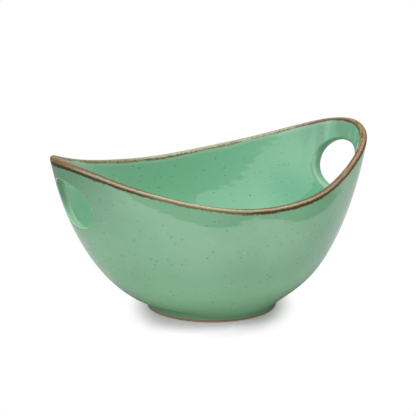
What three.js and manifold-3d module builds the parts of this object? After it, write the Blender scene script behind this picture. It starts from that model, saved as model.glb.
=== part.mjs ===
// Oval stoneware serving bowl, with a lip that rises to a pierced handle at each end.
// Millimetres, +Z up. The origin is on the table under the middle of the foot, and +X runs
// through the two finger openings.

import * as THREE from 'three';
import { LoftGeometry } from 'three/addons/geometries/LoftGeometry.js';
import { mergeGeometries, mergeVertices } from 'three/addons/utils/BufferGeometryUtils.js';
import Module from 'manifold-3d';

// Overall sizes, measured over the lip
const LENGTH = 260;
const WIDTH = 186;
const END_HEIGHT = 130;
const SIDE_HEIGHT = 97;
const DRAW_IN = 6; // how far the plan lies inside a plain ellipse where it narrows towards an end

// Wall, with its angles in degrees and its reaches: how far it holds each angle before it bends
const WALL = 5.5; // finished thickness, glaze on both faces included
const END_FOOT_SLOPE = 19; // above the level, where the wall leaves the foot
const SIDE_FOOT_SLOPE = 46;
const END_LIP_LEAN = 11; // outwards from upright, at the lip
const SIDE_LIP_LEAN = 0;
const END_FOOT_REACH = 34;
const SIDE_FOOT_REACH = 32;
const END_LIP_REACH = 60;
const SIDE_LIP_REACH = 57;

// Floor and foot
const FLOOR = 8; // thickness between the recess and the inside
const FLOOR_BLEND = 14; // height over which the floor rounds into the wall
const FOOT_RADIUS = 48.5; // outer edge of the ring that touches the table
const FOOT_WIDTH = 7; // width of that ring
const FOOT_HEIGHT = 7; // table to the shoulder where the wall starts
const FOOT_FLARE = 4.5; // how much wider the foot is at the shoulder than on the table
const FOOT_EDGE = 2; // rounding of the outer bottom edge
const FOOT_RECESS = 5; // depth of the hollow under the floor
const FOOT_DRAFT = 1; // how much the hollow narrows towards the floor

// Finger opening in each end
const OPENING_WIDTH = 51;
const OPENING_HEIGHT = 38;
const OPENING_FULLNESS = 2.15; // exponent of the oval: 2 is an ellipse, more is squarer
const BRIDGE = 15.5; // lip crest to the top of the opening

// Fired coats
const GLAZE = 0.4;
const LIP_BAND = 5; // how far the brown band reaches down each face from the crest
const FOOT_BAND_LOW = 0.3; // the brown line round the foot, above the table
const FOOT_BAND_HIGH = 1.6;
const BASE_GAP = 0.3; // bare clay left round the glaze in the recess

// Fineness of the surfaces
const AROUND = 56;
const WALL_STEPS = 10;
const LIP_STEPS = 4;
const FLOOR_STEPS = 3;
const OPENING_SIDES = 36;
const WELD = 1e-4; // points closer than this are one
const NUDGE = 1e-4; // step for slopes worked out from neighbouring points

const LIP_RADIUS = WALL / 2;
const SHOULDER_RADIUS = FOOT_RADIUS + FOOT_FLARE;
const FOOT_INNER = FOOT_RADIUS - FOOT_WIDTH;
const RECESS_RADIUS = FOOT_INNER - FOOT_DRAFT;
const FLOOR_TOP = FOOT_RECESS + FLOOR;
const OPENING_CENTRE = END_HEIGHT - BRIDGE - OPENING_HEIGHT / 2;
const DRAW_IN_SCALE = 27 / 4; // makes sin² cos⁴ peak at 1

const { lerp, degToRad } = THREE.MathUtils;
const wasm = await Module();
wasm.setup();

// Form of the wall

function polar(radius, height, angle) {
  return new THREE.Vector3(radius * Math.cos(angle), radius * Math.sin(angle), height);
}

// Plan of the lip: an ellipse, drawn in smoothly beside each end.
function rimRadius(angle) {
  const c = Math.cos(angle);
  const s = Math.sin(angle);
  const ellipse = 1 / Math.hypot(c / (LENGTH / 2), s / (WIDTH / 2));
  return ellipse - DRAW_IN * DRAW_IN_SCALE * s ** 2 * c ** 4;
}

// Crest of the lip: a parabola over X, low at the sides and high at the ends.
function rimHeight(angle) {
  const share = (rimRadius(angle) * Math.cos(angle)) / (LENGTH / 2);
  return lerp(SIDE_HEIGHT, END_HEIGHT, share ** 2);
}

// How far the wall holds its lean below the lip.
function lipReach(angle) {
  return lerp(SIDE_LIP_REACH, END_LIP_REACH, Math.cos(angle) ** 2);
}

// Outer wall in section, as radius and height: one cubic curve from the shoulder up to the lip's round.
function wallCurve(angle) {
  const endShare = Math.cos(angle) ** 2;
  const slope = degToRad(lerp(SIDE_FOOT_SLOPE, END_FOOT_SLOPE, endShare));
  const lean = degToRad(lerp(SIDE_LIP_LEAN, END_LIP_LEAN, endShare));
  const shoulder = new THREE.Vector2(SHOULDER_RADIUS, FOOT_HEIGHT);
  const top = new THREE.Vector2(
    rimRadius(angle) - LIP_RADIUS + LIP_RADIUS * Math.cos(lean),
    rimHeight(angle) - LIP_RADIUS - LIP_RADIUS * Math.sin(lean),
  );
  const outOfFoot = new THREE.Vector2(Math.cos(slope), Math.sin(slope));
  const intoLip = new THREE.Vector2(Math.sin(lean), Math.cos(lean));
  const low = shoulder.clone().addScaledVector(outOfFoot, lerp(SIDE_FOOT_REACH, END_FOOT_REACH, endShare));
  const high = top.clone().addScaledVector(intoLip, -lipReach(angle));
  return new THREE.CubicBezierCurve(shoulder, low, high, top);
}

function wallPoint(angle, t) {
  const { x, y } = wallCurve(angle).getPoint(t);
  return polar(x, y, angle);
}

// Point on the outer wall, with the unit directions up the section and into the clay.
function wallFrame(angle, t) {
  const point = wallPoint(angle, t);
  const up = wallPoint(angle, t + NUDGE).sub(wallPoint(angle, t - NUDGE)).normalize();
  const around = wallPoint(angle + NUDGE, t).sub(wallPoint(angle - NUDGE, t));
  const inward = new THREE.Vector3().crossVectors(up, around).normalize();
  return { point, up, inward };
}

function belowWall(angle, t, depth) {
  const { point, inward } = wallFrame(angle, t);
  return point.addScaledVector(inward, depth);
}

// The larger of two heights, rounded where they cross: a cubic, a sixth of the blend high at the crossing.
function roundedMax(a, b) {
  const near = Math.max(FLOOR_BLEND - Math.abs(a - b), 0) / FLOOR_BLEND;
  return Math.max(a, b) + (FLOOR_BLEND * near ** 3) / 6;
}

// Section of the bowl, as stations: each turns an angle, and a depth under the finished surface, into a point

// Outside of the foot: a quarter round, then a cove that widens to the shoulder.
function footRadius(height) {
  if (height < FOOT_EDGE) return FOOT_RADIUS + Math.sqrt(FOOT_EDGE ** 2 - (FOOT_EDGE - height) ** 2);
  const share = (height - FOOT_EDGE) / (FOOT_HEIGHT - FOOT_EDGE);
  return FOOT_RADIUS + FOOT_EDGE + (FOOT_FLARE - FOOT_EDGE) * share ** 2;
}

function footStation(height) {
  return (angle, depth) => polar(footRadius(height) - depth, height, angle);
}

// Top of the plain wall, where the brown band starts, as a share of the wall's curve.
// A cubic curve arrives at its end with three times its last reach as its speed.
function bandStart(angle) {
  const speed = 3 * lipReach(angle);
  return 1 - (LIP_BAND - LIP_RADIUS) / speed;
}

function outsideStation(share) {
  return (angle, depth) => belowWall(angle, share * bandStart(angle), depth);
}

// The lip is a half round about the middle of the wall.
function lipStation(turn) {
  return (angle, depth) => {
    const { point, up, inward } = wallFrame(angle, 1);
    const radius = LIP_RADIUS - depth;
    return point
      .addScaledVector(inward, LIP_RADIUS - radius * Math.cos(turn))
      .addScaledVector(up, radius * Math.sin(turn));
  };
}

function insideStation(share) {
  return (angle, depth) => {
    const point = belowWall(angle, share * bandStart(angle), WALL - depth);
    point.z = roundedMax(point.z, FLOOR_TOP - depth);
    return point;
  };
}

// The inside carries on down at the wall's slope, and the level floor takes over.
function floorStation(share) {
  return (angle, depth) => {
    const point = belowWall(angle, 0, WALL - depth);
    const slope = degToRad(lerp(SIDE_FOOT_SLOPE, END_FOOT_SLOPE, Math.cos(angle) ** 2));
    const drop = Math.hypot(point.x, point.y) * share * Math.tan(slope);
    const height = roundedMax(point.z - drop, FLOOR_TOP - depth);
    return new THREE.Vector3(point.x * (1 - share), point.y * (1 - share), height);
  };
}

function spread(from, to, steps) {
  return Array.from({ length: steps + 1 }, (_, i) => lerp(from, to, i / steps));
}

function roundStation(radius, height) {
  return (angle) => polar(radius, height, angle);
}

const recessMiddle = roundStation(0, FOOT_RECESS);
const recessEdge = roundStation(RECESS_RADIUS, FOOT_RECESS);
const tableRing = [roundStation(FOOT_INNER, 0), roundStation(FOOT_RADIUS, 0)];
const footLine = [FOOT_BAND_LOW, FOOT_BAND_HIGH].map(footStation);
const footSide = footStation((FOOT_BAND_HIGH + FOOT_RECESS) / 2);
const footTop = footStation(FOOT_RECESS); // level with the recess's roof, where the bowl takes over
const cove = footStation((FOOT_RECESS + FOOT_HEIGHT) / 2);
const outside = spread(0, 1, WALL_STEPS).map(outsideStation);
const lip = spread(0, Math.PI, LIP_STEPS).map(lipStation);
const inside = spread(1, 0, WALL_STEPS).map(insideStation);
const floor = spread(0, 1, FLOOR_STEPS).slice(1, -1).map(floorStation);
const floorMiddle = (angle, depth) => polar(0, FLOOR_TOP - depth, angle);
const footSection = [recessEdge, ...tableRing, ...footLine, footSide, footTop, recessEdge];
const bowlSection = [recessMiddle, footTop, cove, ...outside, ...lip, ...inside, ...floor, floorMiddle];
const coated = [...footLine, footSide, ...bowlSection.slice(1)];

// Closed bodies from stretches of the section

// Points are spread evenly round the oval, so they lie closer at the narrow ends.
function ring(station, depth) {
  return Array.from({ length: AROUND }, (_, i) => {
    const turn = (2 * Math.PI * i) / AROUND;
    return station(Math.atan2(WIDTH * Math.sin(turn), LENGTH * Math.cos(turn)), depth);
  });
}

function sheet(run, depth) {
  return new LoftGeometry(run.map((station) => ring(station, depth)));
}

function turnedOver(geometry) {
  return geometry.setIndex([...geometry.index.array].reverse());
}

// A ring on the axis is one point, so the triangles between its corners fall away.
function withoutSlivers(corners) {
  const kept = [];
  for (let i = 0; i < corners.length; i += 3) {
    const [a, b, c] = corners.slice(i, i + 3);
    if (a !== b && b !== c && c !== a) kept.push(a, b, c);
  }
  return new Uint32Array(kept);
}

function solidOf(...surfaces) {
  const joined = mergeGeometries(surfaces);
  joined.deleteAttribute('normal');
  joined.deleteAttribute('uv');
  const welded = mergeVertices(joined, WELD);
  const vertProperties = welded.getAttribute('position').array;
  const triVerts = withoutSlivers(welded.index.array);
  return new wasm.Manifold(new wasm.Mesh({ numProp: 3, vertProperties, triVerts }));
}

// A whole section, filled, with its surface moved in by a depth.
function filled(run, depth) {
  return solidOf(sheet(run, depth));
}

// A coat over one stretch of the section, one glaze deep.
function coat(first, last) {
  const run = coated.slice(coated.indexOf(first), coated.indexOf(last) + 1);
  const edge = (station) => new LoftGeometry([ring(station, 0), ring(station, GLAZE)]);
  return solidOf(
    sheet(run, 0),
    turnedOver(sheet(run, GLAZE)),
    turnedOver(edge(first)),
    edge(last),
  );
}

// Finger openings

function oval(width, height) {
  const power = 2 / OPENING_FULLNESS;
  const stretch = (value) => Math.sign(value) * Math.abs(value) ** power;
  return Array.from({ length: OPENING_SIDES }, (_, i) => {
    const turn = (2 * Math.PI * i) / OPENING_SIDES;
    return new THREE.Vector2(
      (width / 2) * stretch(Math.cos(turn)),
      (height / 2) * stretch(Math.sin(turn)),
    );
  });
}

// A bar of the opening's outline, from the bowl's middle out past the end that it faces.
function openingBar(shape, facing) {
  const bar = new THREE.ExtrudeGeometry(shape, { depth: LENGTH, bevelEnabled: false });
  const alongX = new THREE.Matrix4().makeBasis(
    new THREE.Vector3(0, 1, 0),
    new THREE.Vector3(0, 0, 1),
    new THREE.Vector3(1, 0, 0),
  );
  bar.applyMatrix4(alongX).translate(0, 0, OPENING_CENTRE).rotateZ(facing);
  return solidOf(bar);
}

function cutBar(facing) {
  return openingBar(new THREE.Shape(oval(OPENING_WIDTH + 2 * GLAZE, OPENING_HEIGHT + 2 * GLAZE)), facing);
}

// The coat on the cut faces of one opening, flush with the wall on both sides.
function openingCoat(facing) {
  const tube = new THREE.Shape(oval(OPENING_WIDTH + 2 * GLAZE, OPENING_HEIGHT + 2 * GLAZE));
  tube.holes.push(new THREE.Path(oval(OPENING_WIDTH, OPENING_HEIGHT)));
  return filled(bowlSection, 0).intersect(openingBar(tube, facing));
}

const RIGHT = 0;
const LEFT = Math.PI;

function pierced(solid) {
  return solid.subtract(cutBar(RIGHT)).subtract(cutBar(LEFT));
}

function baseCoat() {
  const low = FOOT_RECESS - GLAZE;
  const radius = RECESS_RADIUS - BASE_GAP;
  const disc = [
    roundStation(0, low),
    roundStation(radius, low),
    roundStation(radius, FOOT_RECESS),
    roundStation(0, FOOT_RECESS),
  ];
  return solidOf(sheet(disc, 0));
}

// Finishes and assembly

const clay = { color: '#b79c7c', roughness: 0.85, metalness: 0 };
const greenGlaze = { color: '#83b293', roughness: 0.18, metalness: 0 };
const brownGlaze = { color: '#7a5a44', roughness: 0.3, metalness: 0 };

function geometryOf(solid) {
  const { vertProperties, triVerts } = solid.getMesh();
  const geometry = new THREE.BufferGeometry();
  geometry.setAttribute('position', new THREE.BufferAttribute(vertProperties, 3));
  geometry.setIndex(new THREE.BufferAttribute(triVerts, 1));
  geometry.computeVertexNormals();
  return geometry;
}

const bowl = new THREE.Group();

function addPiece(name, solid, finish) {
  const mesh = new THREE.Mesh(geometryOf(solid), new THREE.MeshStandardMaterial(finish));
  mesh.name = name;
  bowl.add(mesh);
}

const bandTop = footLine[1];
const lipOuter = outside[WALL_STEPS];
const lipInner = inside[0];

addPiece('stoneware_bowl', pierced(filled(bowlSection, GLAZE)), clay);
addPiece('foot_ring', filled(footSection, GLAZE), clay);
addPiece('outside_glaze', pierced(coat(bandTop, lipOuter)), greenGlaze);
addPiece('inside_glaze', pierced(coat(lipInner, floorMiddle)), greenGlaze);
addPiece('left_opening_glaze', openingCoat(LEFT), greenGlaze);
addPiece('right_opening_glaze', openingCoat(RIGHT), greenGlaze);
addPiece('lip_band', coat(lipOuter, lipInner), brownGlaze);
addPiece('foot_band', coat(footLine[0], bandTop), brownGlaze);
addPiece('base_glaze', baseCoat(), greenGlaze);

export default bowl;
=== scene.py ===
"""Glazes, clay and studio for a packed stoneware serving bowl.

Every surface of the bowl is a function of two parameters: how far round the oval, and how far along
its section from the foot, up the outside, over the lip and down the inside to the middle of the floor.
Lengths are in metres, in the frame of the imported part.
"""

import math

import bmesh
import bpy
import numpy as np
from bpy.props import FloatProperty, FloatVectorProperty, PointerProperty
from bpy.types import Operator, Panel, PropertyGroup
from mathutils import Matrix, Vector


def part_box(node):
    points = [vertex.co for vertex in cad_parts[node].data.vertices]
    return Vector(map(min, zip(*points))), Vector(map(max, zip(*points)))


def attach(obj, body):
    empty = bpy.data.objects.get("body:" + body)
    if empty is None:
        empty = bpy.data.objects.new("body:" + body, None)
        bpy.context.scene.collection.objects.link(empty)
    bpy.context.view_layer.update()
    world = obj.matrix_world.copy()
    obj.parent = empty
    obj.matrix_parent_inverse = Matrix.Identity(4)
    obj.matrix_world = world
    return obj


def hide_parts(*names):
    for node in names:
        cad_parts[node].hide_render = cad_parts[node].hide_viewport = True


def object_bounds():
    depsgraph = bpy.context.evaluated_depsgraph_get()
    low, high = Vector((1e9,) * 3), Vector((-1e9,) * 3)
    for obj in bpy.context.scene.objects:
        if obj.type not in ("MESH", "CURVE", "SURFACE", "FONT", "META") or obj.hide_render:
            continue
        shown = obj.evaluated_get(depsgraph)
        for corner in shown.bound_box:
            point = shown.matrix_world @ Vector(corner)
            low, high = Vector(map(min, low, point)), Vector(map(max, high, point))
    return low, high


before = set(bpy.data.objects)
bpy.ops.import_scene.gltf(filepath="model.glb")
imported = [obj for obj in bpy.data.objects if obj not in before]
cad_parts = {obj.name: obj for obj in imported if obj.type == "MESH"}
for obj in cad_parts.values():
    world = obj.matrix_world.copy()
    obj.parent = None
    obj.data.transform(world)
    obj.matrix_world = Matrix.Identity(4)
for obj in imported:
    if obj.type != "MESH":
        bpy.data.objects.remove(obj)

bl_info = {
    "name": "Handled Serving Bowl",
    "version": (1, 0, 0),
    "blender": (4, 5, 0),
    "location": "View3D > Sidebar > Serving Bowl",
    "description": "Glazes, clay and studio for a packed stoneware serving bowl",
    "category": "Object",
}

MM = 0.001
HALF_TURN = math.pi
BODY = "root"

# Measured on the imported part
BOWL_LOW, BOWL_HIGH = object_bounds()
LIP_BAND_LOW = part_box("lip_band")[0].z
OPENING_LOW, OPENING_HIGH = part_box("right_opening_glaze")
OPENING_MIDDLE = (OPENING_HIGH.z + OPENING_LOW.z) / 2
RECESS_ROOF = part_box("base_glaze")[1].z

GLAZE_DEPTH = 0.4 * MM
CLAY_GAP = 0.03 * MM  # left between the clay and the backs of the coats
LIP_BAND_REACH = 5 * MM  # from the crest of the lip down each face
OPENING_LESS = 1.3 * MM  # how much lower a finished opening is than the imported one
OPENING_DROP = 0.55 * MM  # how much lower its middle lies
# An opening's inner edge shows that cream as a painted highlight, besides glaze drawn back from the edge.
INNER_ARRIS_HIGHLIGHT = 0.5  # share of the outer edge's cream that an opening's inner edge shows
FAR_OUTSIDE = 1.0  # distance from the crest that is given to pieces away from the lip
BASE_GAP = 0.3 * MM  # bare clay round the disc under the floor
FLOOR_HALF = 6.0  # middle of the floor to its side
SENSOR_MM = 36
WHITE = (1, 1, 1, 1)

# Fineness of the surfaces
COLUMNS = 256  # round the bowl
FOOT_ROWS = 12
WALL_ROWS = 96
FLOOR_ROWS = 24
LIP_EDGE_ROWS = 3
LIP_ROUND_ROWS = 18
FOOT_LINE_ROWS = 6
PATCH_COLUMNS = 18  # grid columns left out to each side of an opening
PATCH_ROWS = 15  # grid rows left out above and below its middle
PATCH_RINGS = 7  # rings of faces from there to the opening's edge
ROLL_ROWS = 8
LINING_ROWS = 4
PROFILE_STEPS = 8  # in each curve of a lathed profile
SHARP_ANGLE = math.radians(40)
WELD = 1e-6  # points closer than this become one
NO_TRIANGLES = np.zeros((0, 3), int)

# Working out of slopes and crossings
NUDGE = 1e-4  # step for slopes worked out from neighbouring points
NEWTON_ROUNDS = 8
OUTSIDE_GUESS = 0.83  # share of the wall at the middle of an opening, from the outside
INSIDE_GUESS = 0.17  # and from the inside


def size(name, description, default):
    """A length that a user would change."""
    return FloatProperty(
        name=name, description=description, default=default, min=0.0, precision=5, unit="LENGTH"
    )


def angle(name, description, degrees):
    """An angle that a user would change."""
    return FloatProperty(
        name=name, description=description, default=math.radians(degrees), subtype="ANGLE"
    )


def amount(name, description, default):
    """A plain number that a user would change."""
    return FloatProperty(name=name, description=description, default=default, min=0.0)


def linear(channel):
    """One channel of a screen colour, from 0 to 255, as light."""
    share = channel / 255
    return share / 12.92 if share <= 0.04045 else ((share + 0.055) / 1.055) ** 2.4


def colour(name, description, red, green, blue):
    """A colour that a user would change, given as it looks on a screen."""
    return FloatVectorProperty(
        name=name,
        description=description,
        default=[linear(red), linear(green), linear(blue)],
        size=3,
        min=0.0,
        max=1.0,
        subtype="COLOR",
    )


class BOWL_PG_sizes(PropertyGroup):
    """Sizes of the bowl"""

    length: size("Length", "Over the lip, end to end", BOWL_HIGH.x - BOWL_LOW.x)
    width: size("Width", "Over the lip, side to side", BOWL_HIGH.y - BOWL_LOW.y)
    end_height: size("End height", "Table to the lip at an end", BOWL_HIGH.z - BOWL_LOW.z)
    side_height: size("Side height", "Table to the lip at a side", LIP_BAND_LOW + LIP_BAND_REACH)
    draw_in: size("Draw-in", "How far the plan lies inside a plain ellipse beside an end", 6 * MM)
    wall: size("Wall", "Finished thickness of the wall and the lip", 5.5 * MM)
    end_foot_slope: angle("End foot slope", "Wall above the level at the foot, at an end", 19)
    side_foot_slope: angle("Side foot slope", "Wall above the level at the foot, at a side", 46)
    end_lip_lean: angle("End lip lean", "Wall outwards from upright at the lip, at an end", 11)
    side_lip_lean: angle("Side lip lean", "Wall outwards from upright at the lip, at a side", 0)
    end_foot_reach: size("End foot reach", "How far the wall holds its foot slope, at an end", 34 * MM)
    side_foot_reach: size("Side foot reach", "How far it holds its foot slope, at a side", 32 * MM)
    end_lip_reach: size("End lip reach", "How far the wall holds its lip lean, at an end", 60 * MM)
    side_lip_reach: size("Side lip reach", "How far it holds its lip lean, at a side", 57 * MM)
    floor_top: size("Floor top", "Table to the inside floor", RECESS_ROOF + 8 * MM)
    floor_blend: size("Floor blend", "Height over which the floor rounds into the wall", 14 * MM)
    foot_radius: size("Foot radius", "Outer edge of the ring that touches the table", 48.5 * MM)
    foot_width: size("Foot width", "Width of the ring that touches the table", 7 * MM)
    foot_height: size("Foot height", "Table to the shoulder where the wall starts", 7 * MM)
    foot_flare: size("Foot flare", "How much wider the foot is at the shoulder", 4.5 * MM)
    foot_edge: size("Foot edge", "Rounding of the foot's outer bottom edge", 0.8 * MM)
    foot_lean: amount("Foot lean", "Run outwards for each rise, low on the foot's side", 0.45)
    foot_cove: amount("Foot cove", "Largest run outwards for each rise, high on the foot's side", 1.6)
    foot_inner_edge: size("Foot inner edge", "Rounding of the foot's inner bottom edge", 2 * MM)
    foot_draft: size("Foot draft", "How much the hollow under the floor narrows upwards", 1 * MM)
    opening_width: size(
        "Opening width",
        "Finger opening, side to side",
        OPENING_HIGH.y - OPENING_LOW.y - 2 * GLAZE_DEPTH,
    )
    opening_height: size(
        "Opening height",
        "Finger opening, top to bottom",
        OPENING_HIGH.z - OPENING_LOW.z - 2 * GLAZE_DEPTH - OPENING_LESS,
    )
    opening_middle: size(
        "Opening middle", "Table to the middle of an opening", OPENING_MIDDLE - OPENING_DROP
    )
    opening_fullness: amount("Opening fullness", "Exponent of the oval: 2 is an ellipse", 2.15)
    outer_roll: size("Outer roll", "How far an opening's outer edge is rounded", 1.2 * MM)
    inner_roll: size("Inner roll", "How far an opening's inner edge is rounded", 2.4 * MM)
    glaze: size("Glaze", "Thickness of the fired coats", GLAZE_DEPTH)
    lip_band: size("Lip band", "How far the brown piece reaches down from the crest", LIP_BAND_REACH)
    foot_band_low: size("Foot band low", "Table to the bottom of the brown line", 0.3 * MM)
    foot_band_high: size("Foot band high", "Table to the top of the brown line", 2.4 * MM)


class BOWL_PG_finish(PropertyGroup):
    """Colours of the bowl's glazes and clay"""

    green: colour("Green", "Green glaze where it is thick", 110, 158, 124)
    pale_green: colour("Pale green", "Green glaze where it is thin", 120, 166, 133)
    inner_green: colour("Inner green", "Green glaze on the inside, a little bluer", 116, 170, 140)
    # Painted fill light: a paler green low on the outside, where light from the table would fall.
    fill_lit_green: colour("Low green", "Green glaze low on the outside, thin", 141, 195, 152)
    # Darker green in runs down the right end, and high on the outside of the left end.
    run_green: colour("Run green", "Green glaze that lies thick at the ends", 98, 138, 112)
    # Painted shade in the foot's cove, which faces the shaded table; darker than the painted fill light above
    # it.
    cove_shade_green: colour("Pool green", "Green glaze where it has run together", 122, 170, 125)
    # Darker green low in each opening, and painted shade under the top of the right opening.
    sill_and_shade_green: colour("Sill green", "Green glaze that lies thick in an opening", 84, 132, 100)
    # Glaze drawn back from an edge; on an opening's inner edge also a painted highlight.
    edge_cream: colour("Edge cream", "Glaze that has drawn back from an edge", 178, 196, 172)
    speck: colour("Speck", "Iron specks in the green glaze", 70, 64, 54)
    pale_speck: colour("Pale speck", "Pale specks in the green glaze", 196, 220, 196)
    purple_brown: colour("Purple brown", "Inner edge of the brown lip", 84, 60, 36)
    olive: colour("Olive", "Inner half of the lip", 114, 118, 86)
    rust: colour("Rust", "Line along the crest of the lip", 78, 44, 20)
    tan: colour("Tan", "Beside the crest of the lip", 111, 74, 29)
    cream: colour("Cream", "Outer half of the lip", 122, 122, 88)
    thin_green: colour("Thin green", "Outer half of the lip beside the left end", 104, 124, 94)
    left_green: colour("Left green", "Green glaze on the inside towards the left end", 127, 169, 141)
    # Darker green on the inside, low at the ends.
    deep_green: colour("Deep green", "Green glaze that lies thick inside below the openings", 84, 146, 116)
    # Paler green inside the left end, and a painted highlight just under the brown on the far rim.
    pale_and_highlight_green: colour("Veil green", "Green glaze that lies thin inside the left end", 164, 184, 168)
    dark_brown: colour("Dark brown", "Outer edge of the brown lip", 72, 50, 24)
    olive_brown: colour("Olive brown", "Outer edge of the brown lip where it is thin", 104, 94, 54)
    foot_brown: colour("Foot brown", "Line round the foot", 168, 130, 114)
    foot_olive: colour("Foot olive", "Below the line round the foot", 168, 160, 126)
    clay: colour("Clay", "Bare fired clay", 178, 154, 126)
    dark_clay: colour("Dark clay", "Darker grains in the bare clay", 140, 112, 86)


class BOWL_PG_studio(PropertyGroup):
    """Camera and light"""

    view_turn: angle("View turn", "How far the camera stands round from the bowl's front", -30.342)
    view_rise: angle("View rise", "How far the camera looks down", 14.969)
    distance: size("Distance", "Camera to the point that it looks at", 1.9)
    aim_height: size("Aim height", "Height of the point that the camera looks at", 75.494 * MM)
    aim_across: FloatProperty(
        name="Aim across",
        description="How far that point lies to the right of the bowl's middle in the picture",
        default=-2.663 * MM,
        precision=5,
        unit="LENGTH",
    )
    focal_length: amount("Focal length", "In millimetres on a 36 mm sensor", 216.79)
    table_front: size("Table front", "Bowl's middle to the front edge that the glaze reflects", 0.268)
    table_side: size("Table side", "Bowl's middle to the right edge that the glaze reflects", 0.295)
    table_slant: amount("Table slant", "How much farther the front edge lies, towards the right", 0.1)
    shade_across: size("Shade across", "How far the shadow shows to the side of the bowl's middle", 0.066)
    shade_front: size("Shade front", "How far the shadow shows in front of the bowl's middle", 0.118)
    sky: amount("Sky", "Strength of the light from all round", 0.33)
    overhead: amount("Overhead", "Watts of the soft lamp overhead", 44.0)
    overhead_size: size("Overhead size", "Side of that square lamp", 1.8)
    overhead_height: size("Overhead height", "Table to that lamp", 1.3)
    side_light: amount("Side light", "Watts of the soft lamp beside the camera", 11.5)
    side_width: size("Side width", "Width of that lamp", 3.2)
    side_height: size("Side height", "Height of that lamp", 0.9)
    side_distance: size("Side distance", "That lamp to the bowl", 1.5)
    side_turn: angle("Side turn", "How far that lamp stands round from the bowl's front", -57)
    side_rise: angle("Side rise", "How far that lamp stands above the table, seen from the bowl", 24)
    floor: colour("Floor", "Pale table under the bowl", 200, 200, 200)
    shade: colour("Shade", "Tint of the table in the bowl's shadow, to the camera", 255, 237, 251)
    shade_gain: amount("Shade gain", "How much paler the shadow looks to the camera by the foot", 1.47)
    edge_gain: amount("Edge gain", "How much paler it looks at its edge", 0.92)
    mirrored: colour("Mirrored", "Front of the table as the glaze reflects it", 240, 240, 240)
    mirrored_back: colour("Mirrored back", "Back of the table as the glaze reflects it", 164, 164, 164)
    beyond: colour("Beyond", "What lies past the table, as the glaze reflects it", 63, 63, 63)


def polar(radius, height, turn):
    """Points at a radius, height and angle about the bowl's axis."""
    return np.stack(np.broadcast_arrays(radius * np.cos(turn), radius * np.sin(turn), height), -1)


def unit(vectors):
    """Vectors divided by their lengths."""
    return vectors / np.linalg.norm(vectors, axis=-1, keepdims=True)


def mixed(first, second, share):
    """Straight blend of two arrays of points by an array of shares."""
    return first + (second - first) * share[..., None]


def rolled(start, corner, end, share):
    """Quadratic curve from start to end that leaves and arrives in line with the corner."""
    return mixed(mixed(start, corner, share), mixed(corner, end, share), share)


def tangents(surface, sweep, along):
    """Central differences of a surface round it and along it."""
    around = surface(sweep + NUDGE, along) - surface(sweep - NUDGE, along)
    onwards = surface(sweep, along + NUDGE) - surface(sweep, along - NUDGE)
    return around, onwards


def normals_of(surface, sweep, along):
    """Unit normal: the cross product of the two tangents, which points out of the clay."""
    return unit(np.cross(*tangents(surface, sweep, along)))


def locate(surface, targets, sweep, along):
    """Parameters at which a surface passes through given y and z, by Newton's method from a guess."""
    for _ in range(NEWTON_ROUNDS):
        around, onwards = (step[..., 1:] / (2 * NUDGE) for step in tangents(surface, sweep, along))
        miss = surface(sweep, along)[..., 1:] - targets
        area = around[..., 0] * onwards[..., 1] - around[..., 1] * onwards[..., 0]
        sweep = sweep - (miss[..., 0] * onwards[..., 1] - miss[..., 1] * onwards[..., 0]) / area
        along = along - (around[..., 0] * miss[..., 1] - around[..., 1] * miss[..., 0]) / area
    return sweep, along


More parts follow.
